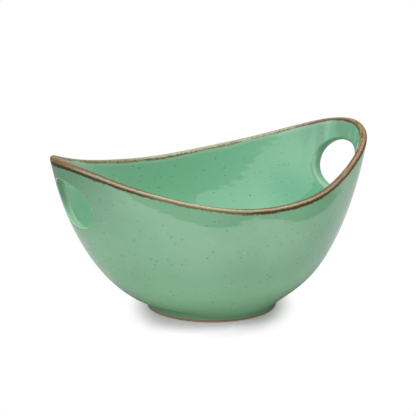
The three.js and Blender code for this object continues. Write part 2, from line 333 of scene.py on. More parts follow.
class BowlForm:
    """The bowl's surfaces, from its sizes. Each takes two arrays of parameters and gives points."""

    def __init__(self, sizes):
        self.s = sizes
        self.lip_radius = sizes.wall / 2
        self.shoulder = sizes.foot_radius + sizes.foot_flare
        self.recess_radius = sizes.foot_radius - sizes.foot_width - sizes.foot_draft

    def turn(self, sweep):
        """Angle about the axis for an even step round the oval: the angle of (length cos, width sin)."""
        return np.arctan2(self.s.width * np.sin(sweep), self.s.length * np.cos(sweep))

    def side_to_end(self, side, end, turn):
        """A value that goes from its side size to its end size with the squared cosine of the angle."""
        return side + (end - side) * np.cos(turn) ** 2

    def rim_radius(self, turn):
        """Plan of the lip: an ellipse less a draw-in of sine squared times cosine to the fourth power.

        That product peaks at 4/27, so it is divided by its peak.
        """
        cosine, sine = np.cos(turn), np.sin(turn)
        ellipse = 1 / np.hypot(cosine / (self.s.length / 2), sine / (self.s.width / 2))
        return ellipse - self.s.draw_in * 27 / 4 * sine**2 * cosine**4

    def rim_height(self, turn):
        """Crest of the lip: a parabola over the length, low at the sides and high at the ends."""
        share = self.rim_radius(turn) * np.cos(turn) / (self.s.length / 2)
        return self.s.side_height + (self.s.end_height - self.s.side_height) * share**2

    def lip_reach(self, turn):
        """How far the wall holds its lean below the lip."""
        return self.side_to_end(self.s.side_lip_reach, self.s.end_lip_reach, turn)

    def foot_slope(self, turn):
        """Slope of the wall where it leaves the foot."""
        return self.side_to_end(self.s.side_foot_slope, self.s.end_foot_slope, turn)

    def band_start(self, turn):
        """Share of the wall's curve at which the brown piece starts.

        Near its end a cubic curve covers three times its last reach for each whole share.
        """
        return 1 - (self.s.lip_band - self.lip_radius) / (3 * self.lip_reach(turn))

    def wall_section(self, turn, rise):
        """Radius and height of the outer wall: a cubic Bezier curve from the shoulder to the lip's round."""
        s = self.s
        slope = self.foot_slope(turn)
        lean = self.side_to_end(s.side_lip_lean, s.end_lip_lean, turn)
        foot_reach = self.side_to_end(s.side_foot_reach, s.end_foot_reach, turn)
        lip_reach = self.lip_reach(turn)
        top_radius = self.rim_radius(turn) - self.lip_radius * (1 - np.cos(lean))
        top_height = self.rim_height(turn) - self.lip_radius * (1 + np.sin(lean))
        weights = ((1 - rise) ** 3, 3 * (1 - rise) ** 2 * rise, 3 * (1 - rise) * rise**2, rise**3)
        radii = (
            self.shoulder,
            self.shoulder + foot_reach * np.cos(slope),
            top_radius - lip_reach * np.sin(lean),
            top_radius,
        )
        heights = (
            s.foot_height,
            s.foot_height + foot_reach * np.sin(slope),
            top_height - lip_reach * np.cos(lean),
            top_height,
        )
        radius = sum(weight * value for weight, value in zip(weights, radii))
        height = sum(weight * value for weight, value in zip(weights, heights))
        return radius, height

    def outer_wall(self, sweep, rise):
        """Outer wall: its section carried round the oval."""
        turn = self.turn(sweep)
        return polar(*self.wall_section(turn, rise), turn)

    def foot_side(self, sweep, height):
        """Outside of the foot: a quarter round, then a cove, a cubic in the height with given end slopes."""
        s = self.s
        turn = self.turn(sweep)
        cove_width, cove_height = s.foot_flare - s.foot_edge, s.foot_height - s.foot_edge
        share = np.maximum(height - s.foot_edge, 0) / cove_height
        drop = np.maximum(s.foot_edge - height, 0)
        wall_flare = np.minimum(1 / np.tan(self.foot_slope(turn)), s.foot_cove)
        leaving = s.foot_lean * cove_height * share * (1 - share) ** 2
        arriving = wall_flare * cove_height * share**2 * (share - 1)
        cove = leaving + arriving + cove_width * share**2 * (3 - 2 * share)
        return polar(s.foot_radius + np.sqrt(s.foot_edge**2 - drop**2) + cove, height, turn)

    def outside(self, sweep, along):
        """Green outside: from -1 to 0 up the foot's side above the brown line, from 0 to 1 up the wall."""
        s = self.s
        rise = np.maximum(along, 0) * self.band_start(self.turn(sweep))
        height = s.foot_height + np.minimum(along, 0) * (s.foot_height - s.foot_band_high)
        foot, wall = self.foot_side(sweep, height), self.outer_wall(sweep, rise)
        return np.where(along[..., None] < 0, foot, wall)

    def shell(self, sweep, rise, roll):
        """Finished surface at a place on the wall: a roll of 0 is the outer face, half a turn the inner."""
        around, onwards = tangents(self.outer_wall, sweep, rise)
        outwards, up = unit(np.cross(around, onwards)), unit(onwards)
        sideways = self.lip_radius * (1 - np.cos(roll))[..., None]
        upwards = self.lip_radius * np.sin(roll)[..., None]
        return self.outer_wall(sweep, rise) - outwards * sideways + up * upwards

    def lip(self, sweep, across):
        """Lip: from 0 to 1 up the outer face, to 2 over a half round, and to 3 down the inner face."""
        band = 1 - self.band_start(self.turn(sweep))
        rise = 1 - band * np.where(across < 1, 1 - across, np.maximum(across - 2, 0))
        return self.shell(sweep, rise, np.clip(across - 1, 0, 1) * HALF_TURN)

    def inside(self, sweep, drop):
        """Inside: from 0 to 1 down the wall, from 1 to 2 on at its slope to the middle, over a level floor.

        The floor takes over through the larger of the two heights plus a cubic, a sixth of the blend high
        where they cross.
        """
        s = self.s
        turn = self.turn(sweep)
        rise = np.maximum(1 - drop, 0) * self.band_start(turn)
        wall = self.shell(sweep, rise, np.full_like(rise, HALF_TURN))
        share = np.clip(drop - 1, 0, 1)
        radius = np.hypot(wall[..., 0], wall[..., 1])
        height = wall[..., 2] - radius * share * np.tan(self.foot_slope(turn))
        near = np.maximum(s.floor_blend - np.abs(height - s.floor_top), 0) / s.floor_blend
        height = np.maximum(height, s.floor_top) + s.floor_blend * near**3 / 6
        return np.stack([wall[..., 0] * (1 - share), wall[..., 1] * (1 - share), height], -1)

    def below_crest(self, turn, rise):
        """Distance along the surface from the crest of the lip down to a place on the wall near it."""
        return self.lip_radius * HALF_TURN / 2 + (1 - rise) * 3 * self.lip_reach(turn)

    def across_outside(self, sweep, along):
        """Signed distance from the crest over the outside, positive."""
        turn = self.turn(sweep)
        return self.below_crest(turn, np.maximum(along, 0) * self.band_start(turn))

    def across_inside(self, sweep, drop):
        """Signed distance from the crest over the inside, negative."""
        turn = self.turn(sweep)
        return -self.below_crest(turn, np.maximum(1 - drop, 0) * self.band_start(turn))

    def across_lip(self, sweep, across):
        """Signed distance from the crest over the lip, from the outer face to the inner."""
        turn = self.turn(sweep)
        band = 1 - self.band_start(turn)
        outer = self.below_crest(turn, 1 - band * (1 - across))
        inner = -self.below_crest(turn, 1 - band * (across - 2))
        over = self.lip_radius * HALF_TURN * (1.5 - across)
        return np.where(across < 1, outer, np.where(across > 2, inner, over))

    def opening_edge(self, theta, grown):
        """Outline of the right opening as y and z: an oval of powers of cosine and sine, grown outwards."""
        s = self.s
        half = np.array([s.opening_width, s.opening_height]) / 2
        circle = np.stack([np.cos(theta), np.sin(theta)], -1)
        oval = half * np.sign(circle) * np.abs(circle) ** (2 / s.opening_fullness)
        outwards = unit(np.sign(oval) * np.abs(oval / half) ** (s.opening_fullness - 1) / half)
        return oval + outwards * grown + np.array([0, s.opening_middle])

    def opening_on(self, surface, guess, theta, grown):
        """Parameters of the right opening's outline on the outside or the inside."""
        edge = self.opening_edge(theta, grown)
        sweep = edge[..., 0] / (self.s.width / 2)
        return locate(surface, edge, sweep, np.full_like(sweep, guess))

    def opening(self, theta, across):
        """Edge of the right opening: rolled in from the outside, straight through, rolled out inside."""
        outer_roll, inner_roll = self.s.outer_roll, self.s.inner_roll
        outer_start = self.outside(*self.opening_on(self.outside, OUTSIDE_GUESS, theta, outer_roll))
        outer_corner = self.outside(*self.opening_on(self.outside, OUTSIDE_GUESS, theta, 0))
        inner_corner = self.inside(*self.opening_on(self.inside, INSIDE_GUESS, theta, 0))
        inner_end = self.inside(*self.opening_on(self.inside, INSIDE_GUESS, theta, inner_roll))
        outer_end = outer_corner - np.array([outer_roll, 0, 0])
        inner_start = inner_corner + np.array([inner_roll, 0, 0])
        first = rolled(outer_start, outer_corner, outer_end, across)
        lining = mixed(outer_end, inner_start, across - 1)
        last = rolled(inner_start, inner_corner, inner_end, across - 2)
        stage = across[..., None]
        return np.where(stage < 1, first, np.where(stage > 2, last, lining))


class Sheet:
    """A stretch of one surface: its points, the faces between them, and their normals out of the clay."""

    def __init__(self, points, quads, triangles=NO_TRIANGLES, normals=None):
        self.points = points
        self.quads = quads
        self.triangles = triangles
        self.normals = normals

    def at_depth(self, depth):
        """The same sheet moved into the clay along its normals."""
        return Sheet(self.points - self.normals * depth, self.quads, self.triangles, self.normals)

    def turned(self):
        """The same sheet at the other end of the bowl, half a turn about the axis."""
        other_end = np.array([-1, -1, 1])
        return Sheet(self.points * other_end, self.quads, self.triangles, self.normals * other_end)

    def corners(self):
        """Vertex of each face corner, quads first."""
        return np.concatenate([self.quads.ravel(), self.triangles.ravel()])

    def border(self):
        """Edges that belong to one face only, in the direction in which that face runs."""
        sides = [self.quads[:, [i, (i + 1) % 4]] for i in range(4)]
        sides += [self.triangles[:, [i, (i + 1) % 3]] for i in range(3)]
        edges = np.concatenate(sides)
        ordered = np.sort(edges, axis=1)
        _, first, count = np.unique(
            ordered[:, 0] * len(self.points) + ordered[:, 1], return_index=True, return_counts=True
        )
        return edges[first[count == 1]]


def band_quads(columns, rows):
    """Faces of a grid that closes on itself round its columns, with points numbered row by row."""
    row, column = np.mgrid[0 : rows - 1, 0:columns]
    onward = (column + 1) % columns
    corners = [row * columns + column, row * columns + onward]
    corners += [(row + 1) * columns + onward, (row + 1) * columns + column]
    return np.stack(corners, -1).reshape(-1, 4)


def band_sheet(surface, around, along):
    """Sheet of a surface over a closed row of places round it and a list of places along it."""
    sweep, places = around[None, :], along[:, None]
    points, normals = surface(sweep, places), normals_of(surface, sweep, places)
    quads = band_quads(len(around), len(along))
    return Sheet(points.reshape(-1, 3), quads, normals=normals.reshape(-1, 3))


def even_sweep():
    """Even steps round the oval."""
    return np.arange(COLUMNS) * (2 * math.pi / COLUMNS)


def steps(*counts):
    """Places from 0 on, with each stretch of 1 cut into its own number of steps."""
    stretches = [np.linspace(i, i + 1, count, endpoint=False) for i, count in enumerate(counts)]
    return np.append(np.concatenate(stretches), len(counts))


def patch_loop():
    """Columns and rows, from the middle, of the rectangle that is left out of the grid round an opening."""
    across = np.arange(-PATCH_COLUMNS, PATCH_COLUMNS)
    upwards = np.arange(-PATCH_ROWS, PATCH_ROWS)
    low, high = np.full(len(across), -PATCH_ROWS), np.full(len(across), PATCH_ROWS)
    left, right = np.full(len(upwards), -PATCH_COLUMNS), np.full(len(upwards), PATCH_COLUMNS)
    columns = np.concatenate([across, right, -across, left])
    rows = np.concatenate([low, upwards, high, -upwards])
    return columns, rows


def loop_angles(upward=1):
    """Angle of the oval at each point of the rectangle, seen from the middle of both."""
    columns, rows = patch_loop()
    return np.arctan2(upward * rows / PATCH_ROWS, columns / PATCH_COLUMNS)


def pierced_places(form, surface, along, guess, upward, roll):
    """Parameters and faces of a grid that has an opening at each end.

    A rectangle of the grid is left out round each opening, and rings of faces lead from the rectangle's
    border to the opening's outline, straight in the two parameters.
    """
    around = even_sweep()
    sweep, places = np.tile(around, len(along)), np.repeat(along, COLUMNS)
    quads = band_quads(COLUMNS, len(along))
    heights = surface(np.zeros_like(along), along)[:, 2]
    middle = np.argmin(np.abs(heights - form.s.opening_middle))
    loop_columns, loop_rows = patch_loop()
    edge_sweep, edge_along = form.opening_on(surface, guess, loop_angles(upward), roll)
    share = np.arange(1, PATCH_RINGS + 1)[:, None] / PATCH_RINGS
    for centre in (0, COLUMNS // 2):
        row, column = np.divmod(quads[:, 0], COLUMNS)
        beside = (column - centre + PATCH_COLUMNS) % COLUMNS < 2 * PATCH_COLUMNS
        level = (row >= middle - PATCH_ROWS) & (row < middle + PATCH_ROWS)
        grid_part = quads[:, 0] < COLUMNS * len(along)
        quads = quads[~(beside & level & grid_part)]
        border = (middle + loop_rows) * COLUMNS + (centre + loop_columns) % COLUMNS
        start_sweep = (centre + loop_columns) * around[1]
        ring_sweep = start_sweep + (edge_sweep + centre * around[1] - start_sweep) * share
        start_along = along[middle + loop_rows]
        ring_along = start_along + (edge_along - start_along) * share
        rings = np.arange(ring_sweep.size).reshape(ring_sweep.shape) + len(sweep)
        outer = np.concatenate([border[None], rings[:-1]])
        onward = np.roll(outer, -1, axis=1)
        faces = np.stack([outer, onward, np.roll(rings, -1, axis=1), rings], -1).reshape(-1, 4)
        quads = np.concatenate([quads, faces])
        sweep = np.concatenate([sweep, ring_sweep.ravel()])
        places = np.concatenate([places, ring_along.ravel()])
    return sweep, places, quads


def used_only(quads, triangles, *arrays):
    """The faces renumbered, and the arrays cut down, to the points that a face uses."""
    used, corners = np.unique(np.concatenate([quads.ravel(), triangles.ravel()]), return_inverse=True)
    renumbered_quads = corners[: quads.size].reshape(-1, 4)
    renumbered_triangles = corners[quads.size :].reshape(-1, 3)
    return renumbered_quads, renumbered_triangles, *(array[used] for array in arrays)


def outside_sheet(form, start=-1.0):
    """Green outside from a place on the foot's side up, with its distance from the crest of the lip."""
    along = np.concatenate([np.linspace(start, 0, FOOT_ROWS, endpoint=False), steps(WALL_ROWS)])
    sweep, places, quads = pierced_places(form, form.outside, along, OUTSIDE_GUESS, 1, form.s.outer_roll)
    quads, triangles, sweep, places = used_only(quads, NO_TRIANGLES, sweep, places)
    points, normals = form.outside(sweep, places), normals_of(form.outside, sweep, places)
    return Sheet(points, quads, triangles, normals), form.across_outside(sweep, places)


def inside_sheet(form):
    """Green inside, closed at the middle of the floor, with its distance from the crest of the lip."""
    along = steps(WALL_ROWS, FLOOR_ROWS)[:-1]
    sweep, places, quads = pierced_places(form, form.inside, along, INSIDE_GUESS, -1, form.s.inner_roll)
    last_row = (len(along) - 1) * COLUMNS + np.arange(COLUMNS)
    middle = np.full(COLUMNS, len(sweep))
    triangles = np.stack([last_row, np.roll(last_row, -1), middle], -1)
    sweep, places = np.append(sweep, 0.0), np.append(places, 2.0)
    quads, triangles, sweep, places = used_only(quads, triangles, sweep, places)
    points = form.inside(sweep, places)
    normals = np.append(normals_of(form.inside, sweep[:-1], places[:-1]), [[0.0, 0.0, 1.0]], axis=0)
    return Sheet(points, quads, triangles, normals), form.across_inside(sweep, places)


def lip_sheet(form):
    """Brown lip, with its distance from the crest."""
    across = steps(LIP_EDGE_ROWS, LIP_ROUND_ROWS, LIP_EDGE_ROWS)
    sheet = band_sheet(form.lip, even_sweep(), across)
    return sheet, form.across_lip(even_sweep()[None, :], across[:, None]).ravel()


def opening_sheet(form):
    """Edge of the right opening, with how far it has turned from both faces: 0 on the flats."""
    across = steps(ROLL_ROWS, LINING_ROWS, ROLL_ROWS)
    theta = loop_angles()
    sheet = band_sheet(form.opening, theta, across)
    count = len(theta)
    outer = form.opening_on(form.outside, OUTSIDE_GUESS, theta, form.s.outer_roll)
    inner = form.opening_on(form.inside, INSIDE_GUESS, theta, form.s.inner_roll)
    sheet.normals[:count] = normals_of(form.outside, *outer)
    sheet.normals[-count:] = normals_of(form.inside, *inner)
    rolling = np.abs(across - 1.5) > 0.5
    arris = np.where(rolling, np.abs(np.sin(np.pi * across)), 0) * np.where(across < 1, 1, INNER_ARRIS_HIGHLIGHT)
    return sheet, np.repeat(arris, count)


def foot_band_sheet(form):
    """Brown line round the foot."""
    heights = np.linspace(form.s.foot_band_low, form.s.foot_band_high, FOOT_LINE_ROWS)
    return band_sheet(form.foot_side, even_sweep(), heights)


def lathed(profile):
    """A profile of radii and heights carried round the axis: a pole where it starts or ends on the axis."""
    turn = even_sweep()
    radius, height = profile[:, 0], profile[:, 1]
    closed = bool(np.allclose(profile[0], profile[-1]))
    starts_on_axis, ends_on_axis = radius[0] == 0, radius[-1] == 0
    body = slice(1 if starts_on_axis else 0, -1 if ends_on_axis or closed else None)
    rows = len(radius[body])
    radii, heights = np.repeat(radius[body], COLUMNS), np.repeat(height[body], COLUMNS)
    points = polar(radii, heights, np.tile(turn, rows))
    quads, triangles = band_quads(COLUMNS, rows), NO_TRIANGLES
    first, last = np.arange(COLUMNS), (rows - 1) * COLUMNS + np.arange(COLUMNS)
    if closed:
        onward = np.roll(last, -1), np.roll(first, -1)
        quads = np.concatenate([quads, np.stack([last, onward[0], onward[1], first], -1)])
    if starts_on_axis:
        pole = np.full(COLUMNS, len(points))
        triangles = np.concatenate([triangles, np.stack([pole, np.roll(first, -1), first], -1)])
        points = np.append(points, [[0, 0, height[0]]], axis=0)
    if ends_on_axis:
        pole = np.full(COLUMNS, len(points))
        triangles = np.concatenate([triangles, np.stack([last, np.roll(last, -1), pole], -1)])
        points = np.append(points, [[0, 0, height[-1]]], axis=0)
    return Sheet(points, quads, triangles)


def quarter_round(middle, radius, start):
    """A quarter of a circle about a middle, as radii and heights, from a starting angle in degrees."""
    turn = np.radians(np.linspace(start, start + 90, PROFILE_STEPS + 1))
    return np.array(middle) + radius * np.stack([np.cos(turn), np.sin(turn)], -1)


def mesh_of(name, sheet):
    """A mesh of one sheet, smooth."""
    mesh = bpy.data.meshes.new(name)
    corners = sheet.corners()
    totals = np.concatenate([np.full(len(sheet.quads), 4), np.full(len(sheet.triangles), 3)])
    mesh.vertices.add(len(sheet.points))
    mesh.vertices.foreach_set("co", sheet.points.ravel())
    mesh.loops.add(len(corners))
    mesh.loops.foreach_set("vertex_index", corners)
    mesh.polygons.add(len(totals))
    mesh.polygons.foreach_set("loop_start", np.cumsum(totals) - totals)
    mesh.update(calc_edges=True)
    mesh.shade_smooth()
    return mesh


def lathed_mesh(name, profile):
    """A mesh of a lathed profile, smooth but for its sharp edges."""
    mesh = mesh_of(name, lathed(profile))
    mesh.set_sharp_from_angle(angle=SHARP_ANGLE)
    return mesh


def coat_of(name, sheet, depth):
    """A closed mesh of a coat: a sheet, the same sheet at a depth turned over, a strip along each border.

    The faces of the sheet take its own normals at their corners, so coats that meet shade as one surface.
    """
    count = len(sheet.points)
    points = np.concatenate([sheet.points, sheet.at_depth(depth).points])
    start, end = sheet.border().T
    strip = np.stack([end, start, start + count, end + count], -1)
    first, second, third, fourth = points[strip].transpose(1, 0, 2)
    strip_normals = unit(np.cross(third - first, fourth - second))
    back_quads, back_triangles = sheet.quads[:, ::-1], sheet.triangles[:, ::-1]
    quads = np.concatenate([sheet.quads, back_quads + count, strip])
    triangles = np.concatenate([sheet.triangles, back_triangles + count])
    mesh = mesh_of(name, Sheet(points, quads, triangles))
    corner_normals = (
        sheet.normals[sheet.quads.ravel()],
        -sheet.normals[back_quads.ravel()],
        np.repeat(strip_normals, 4, axis=0),
        sheet.normals[sheet.triangles.ravel()],
        -sheet.normals[back_triangles.ravel()],
    )
    mesh.normals_split_custom_set(np.concatenate(corner_normals))
    return mesh


def store(mesh, name, values):
    """Puts a number on each point of a mesh. A coat's back repeats the numbers of its face."""
    attribute = mesh.attributes.new(name, "FLOAT", "POINT")
    attribute.data.foreach_set("value", np.resize(values, len(mesh.vertices)).astype(np.float32))


def place(name, mesh, node, slot, material):
    """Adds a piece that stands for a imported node."""
    mesh.materials.append(material)
    piece = bpy.data.objects.new(name, mesh)
    bpy.context.collection.objects.link(piece)
    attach(piece, BODY)
    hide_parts(node)


def arithmetic(operation, swapped=False):
    """A method of a value that adds a Math node to its tree."""

    def method(self, other=0.0):
        pair = (other, self) if swapped else (self, other)
        return self.graph.maths(operation, *pair)

    return method


class Value:
    """The output of a node. Arithmetic on values adds Math nodes to their tree."""

    __add__, __radd__ = arithmetic("ADD"), arithmetic("ADD", True)
    __sub__, __rsub__ = arithmetic("SUBTRACT"), arithmetic("SUBTRACT", True)
    __mul__, __rmul__ = arithmetic("MULTIPLY"), arithmetic("MULTIPLY", True)
    __truediv__ = arithmetic("DIVIDE")
    __abs__ = arithmetic("ABSOLUTE")

    def __init__(self, graph, socket):
        self.graph = graph
        self.socket = socket

    def other(self, output):
        """Another output of the same node."""
        return Value(self.graph, self.socket.node.outputs[output])

    def between(self, low, high):
        """0 below low, 1 above high, and a smooth step from one to the other."""
        return self.graph.add(
            "ShaderNodeMapRange",
            {"interpolation_type": "SMOOTHSTEP"},
            {"Value": self, "From Min": low, "From Max": high},
        )


class Graph:
    """The node tree of one material."""

    def __init__(self, tree):
        self.tree = tree
        tree.nodes.clear()

    def add(self, kind, settings=None, sockets=None, output=0):
        """Adds a node: its settings first, then the values or links of its sockets. Gives one output."""
        node = self.tree.nodes.new(kind)
        for key, setting in (settings or {}).items():
            setattr(node, key, setting)
        for key, value in (sockets or {}).items():
            socket = self.socket_of(node.inputs, key)
            if isinstance(value, Value):
                self.tree.links.new(value.socket, socket)
            else:
                socket.default_value = value
        if not node.outputs:
            return None
        return Value(self, self.socket_of(node.outputs, output))

    @staticmethod
    def socket_of(sockets, key):
        """A socket by its number, or by its name among those in use."""
        if isinstance(key, int):
            return sockets[key]
        return next(socket for socket in sockets if socket.enabled and socket.name == key)

    def maths(self, operation, first, second):
        """A Math node on two values or numbers."""
        return self.add("ShaderNodeMath", {"operation": operation}, {0: first, 1: second})

    def mix(self, share, first, second):
        """A colour between two colours."""
        return self.add(
            "ShaderNodeMix",
            {"data_type": "RGBA"},
            {"Factor": share, "A": opaque(first), "B": opaque(second)},
            "Result",
        )

    def layered(self, surface, *layers):
        """A colour with others laid over it in turn, each by its own share."""
        for share, layer in layers:
            surface = self.mix(share, surface, layer)
        return surface

    def attribute(self, name):
        """A number that is stored on the points of a mesh."""
        return self.add("ShaderNodeAttribute", {"attribute_name": name}, output="Fac")

    def vector(self, operation, place, other, output):
        """A Vector Math node on a place and a constant vector."""
        return self.add("ShaderNodeVectorMath", {"operation": operation}, {0: place, 1: other}, output)

    def along(self, place, direction):
        """How far a place lies in a direction."""
        return self.vector("DOT_PRODUCT", place, direction, "Value")

    def scaled(self, place, shares):
        """A place with each axis scaled: a pattern on it is drawn out along the axes with small shares."""
        return self.vector("MULTIPLY", place, shares, "Vector")

    def noise(self, place, grain, detail=2.0):
        """Soft noise about one half, with grains of a given size."""
        sockets = {"Vector": place, "Scale": 1 / grain, "Detail": detail}
        return self.add("ShaderNodeTexNoise", {}, sockets)

    def dots(self, place, spacing, radius):
        """Scattered round dots, each of its own size up to a radius, as a mask with its own strength."""
        cells = self.add("ShaderNodeTexVoronoi", {}, {"Vector": place, "Scale": 1 / spacing}, "Distance")
        chance = self.add("ShaderNodeSeparateColor", {}, {"Color": cells.other("Color")}, "Red")
        reach = chance * (radius / spacing)
        return (1 - (cells / reach).between(0.45, 1.0)) * (0.3 + 0.7 * chance.other("Green"))

    def bump(self, height, strength, distance):
        """Normals that follow a height."""
        sockets = {"Strength": strength, "Distance": distance, "Height": height}
        return self.add("ShaderNodeBump", {}, sockets)

    def diffuse(self, shade):
        """A dull surface of one colour."""
        return self.add("ShaderNodeBsdfDiffuse", {}, {"Color": opaque(shade)})

    def blend(self, share, first, second):
        """A surface between two surfaces."""
        return self.add("ShaderNodeMixShader", {}, {0: share, 1: first, 2: second})

    def end(self, shader, kind="ShaderNodeOutputMaterial"):
        """Ends the tree with a surface."""
        self.add(kind, {}, {"Surface": shader})


def squared(value):
    """A value times itself."""
    return value * value


def eighth_power(value):
    """A value to the power of eight, which makes a rectangle with rounded corners of two sides."""
    return squared(squared(squared(value)))


def opaque(value):
    """A colour with its alpha, or a value as it is."""
    return value if isinstance(value, Value) else (*value[:3], 1.0)


def new_material(name):
    """An empty node material and its graph."""
    material = bpy.data.materials.new(name)
    material.use_nodes = True
    return material, Graph(material.node_tree)


class GlazePlace:
    """Where a point of the glaze lies, in millimetres, and the noise that breaks up its colours."""

    def __init__(self, graph):
        self.place = graph.add("ShaderNodeTexCoord", output="Object")
        axes = graph.add("ShaderNodeSeparateXYZ", {}, {"Vector": self.place}, "X")
        self.length, self.width, self.height = axes / MM, axes.other("Y") / MM, axes.other("Z") / MM
        self.left = 0 - self.length
        self.across = graph.attribute("across_lip") / MM  # from the crest of the lip, positive outside
        self.arris = graph.attribute("arris")
        self.lining = graph.attribute("wiped")  # 1 in the openings
        self.inside = (0 - self.across).between(0.0, 9.0)
        self.outside = self.across.between(0.0, 9.0)
        self.near = 1 - self.width.between(-25.0, 25.0)  # 1 at the front and 0 at the back
        self.grain = graph.noise(self.place, 3 * MM)
        self.fleck = graph.noise(self.place, 1.1 * MM)
        self.spots = graph.noise(self.place, 2.2 * MM)
        drift = graph.noise(self.place, 16 * MM)
        self.ragged = (self.grain - 0.5) * 1.7 + (self.fleck - 0.5) * 1.8
        self.wander = (drift - 0.5) * 2.6


def green_colours(graph, finish, at):
    """Colours of the green glaze, and where it is darker low in an opening.

    It is cloudy and bluer on the inside, with painted fill light low on the outside and painted shade
    in the foot's cove. It is paler inside the left end, darker high outside the left end, low inside
    the ends and in runs down the right one. It has painted shade under the top of the right opening and
    a painted highlight under the far rim. It is pale where it draws back from an arris, which on an
    opening's inner edge is also a painted highlight, and has dark and pale specks.
    """
    length, left, height, across = at.length, at.left, at.height, at.across
    middle = OPENING_MIDDLE / MM
    cloud = graph.noise(at.place, 45 * MM, 3.0)
    # Painted fill light low on the outside.
    low = (1 - height.between(8.0, 52.0)) * at.outside
    to_left = left.between(-10.0, 55.0) * at.inside
    ends = length.between(72.0, 98.0) * 0.8 + left.between(55.0, 90.0) * 0.4
    # Darker on the inside, low at the ends.
    below_openings = ends * at.inside * (1 - height.between(66.0, 96.0))
    # Painted highlight: a pale line just under the brown on the inside of the far rim.
    below_lip = (across - at.wander).between(-7.2, -5.4) * (1 - across.between(-4.4, -3.8))
    rim_highlight = below_lip * at.width.between(0.0, 30.0)
    # Paler inside the left end, below the lip.
    paler_left_inside = left.between(55.0, 105.0) * across.between(-34.0, -8.0) * (1 - across.between(-8.0, 0.0))
    runs = graph.noise(graph.scaled(at.place, (1, 1, 0.1)), 11 * MM, 0.0).between(0.4, 0.6)
    run_down = length.between(97.0, 115.0) * height.between(72.0, 98.0) * (1 - across.between(-9.0, 0.0))
    # Darker high on the outside of the left end.
    dark_left_end = left.between(90.0, 126.0) * height.between(60.0, 95.0) * at.outside
    # Painted shade in the foot's cove.
    cove_shade = 1 - height.between(3.5, 8.0)
    # Darker low in each opening.
    sill = at.lining * (1 - height.between(middle - 12, middle + 6))
    # Painted shade under the top of the right opening, along its edge.
    eave_shade = at.lining * length.between(0.0, 10.0) * height.between(middle - 4, middle + 10)
    green = graph.layered(
        graph.mix(cloud.between(0.3, 0.7), finish.green, finish.pale_green),
        (at.inside * 0.85, finish.inner_green),
        (low, finish.fill_lit_green),
        (to_left * 0.9, finish.left_green),
        (below_openings, finish.deep_green),
        (rim_highlight * 0.45, finish.pale_and_highlight_green),
        (paler_left_inside * 0.85, finish.pale_and_highlight_green),
        (run_down * (0.2 + runs * 0.5), finish.run_green),
        (dark_left_end * 0.8, finish.run_green),
        (cove_shade * 0.9, finish.cove_shade_green),
        (graph.dots(at.place, 2.9 * MM, 0.85 * MM) * 0.72, finish.speck),
        (graph.dots(at.place, 12 * MM, 0.8 * MM) * 0.4, finish.pale_speck),
        (sill * 0.8, finish.sill_and_shade_green),
        (eave_shade * 0.7, finish.sill_and_shade_green),
        # Glaze drawn back from an opening's edges, with a painted highlight on the inner edge.
        (at.arris * (1 - eave_shade) * 0.5, finish.edge_cream),
    )
    return green, sill


def brown_colours(graph, finish, at):
    """Colours of the brown glaze, where it lies over the lip, and where the dull line along the crest lies.

    The colours lie in lines, from the inside over the crest to the outside. Along the length they change: in
    brown streaks at the right end and the left tip, greenish beside that tip, thinner left of the middle, and
    without the dark inner line at the back.
    """
    length, left, near = at.length, at.left, at.near
    drawn = (length.between(50.0, 105.0) * 1.3 + (1 - abs(length + 62).between(12.0, 40.0)) * 0.9) * near
    tip = left.between(104.0, 118.0) * at.width.between(-36.0, 4.0)
    over = at.across + drawn - tip * 1.8 + at.ragged * 0.7 + at.wander * 0.4
    streaked = graph.add("ShaderNodeCombineXYZ", {}, {"X": length, "Y": at.width, "Z": at.across * 5})
    streaks = graph.noise(streaked, 8.0, 1.0).between(0.38, 0.62)
    right_end = (length + near * 40).between(90.0, 120.0)
    beside_tip = left.between(104.0, 122.0) * near
    thin = 1 - abs(length + 56).between(24.0, 42.0)
    back = (1 - near) * (1 - right_end)
    browner = right_end * (0.3 + streaks * 0.6)
    broken = back * (0.8 - at.spots.between(0.42, 0.5) * 0.55)
    mottled = at.spots.between(0.47, 0.55) * (1 - over.between(-3.2, -0.6))
    crest = over.between(-1.5, -1.0) * (1 - over.between(1.0, 1.8)) * near
    olive = graph.layered(finish.olive, (browner, finish.tan), (mottled * 0.9, finish.purple_brown))
    cream = graph.layered(
        finish.cream,
        (at.fleck.between(0.52, 0.66) * 0.6, finish.olive_brown),
        (browner, finish.tan),
        (beside_tip * 0.9, finish.thin_green),
    )
    brown = graph.layered(
        graph.mix(broken, finish.purple_brown, finish.cream),
        ((over - right_end * 1.2).between(-3.8, -3.2), olive),
        (crest * (1 - right_end * (1 - streaks) * 0.7), finish.rust),
        (over.between(0.9, 1.2) * near, finish.tan),
        (over.between(1.3, 1.8), cream),
        (tip * (0.2 + streaks * 0.4), finish.tan),
        ((over - thin * 0.5).between(2.8, 3.4), graph.mix(thin * 0.8, finish.dark_brown, finish.olive_brown)),
    )
    reach = abs(at.across + drawn - tip * 1.2 - 0.7) - tip * 1.2
    on_lip = 1 - (reach + at.ragged + at.wander).between(4.2, 5.0)
    return brown, on_lip, crest


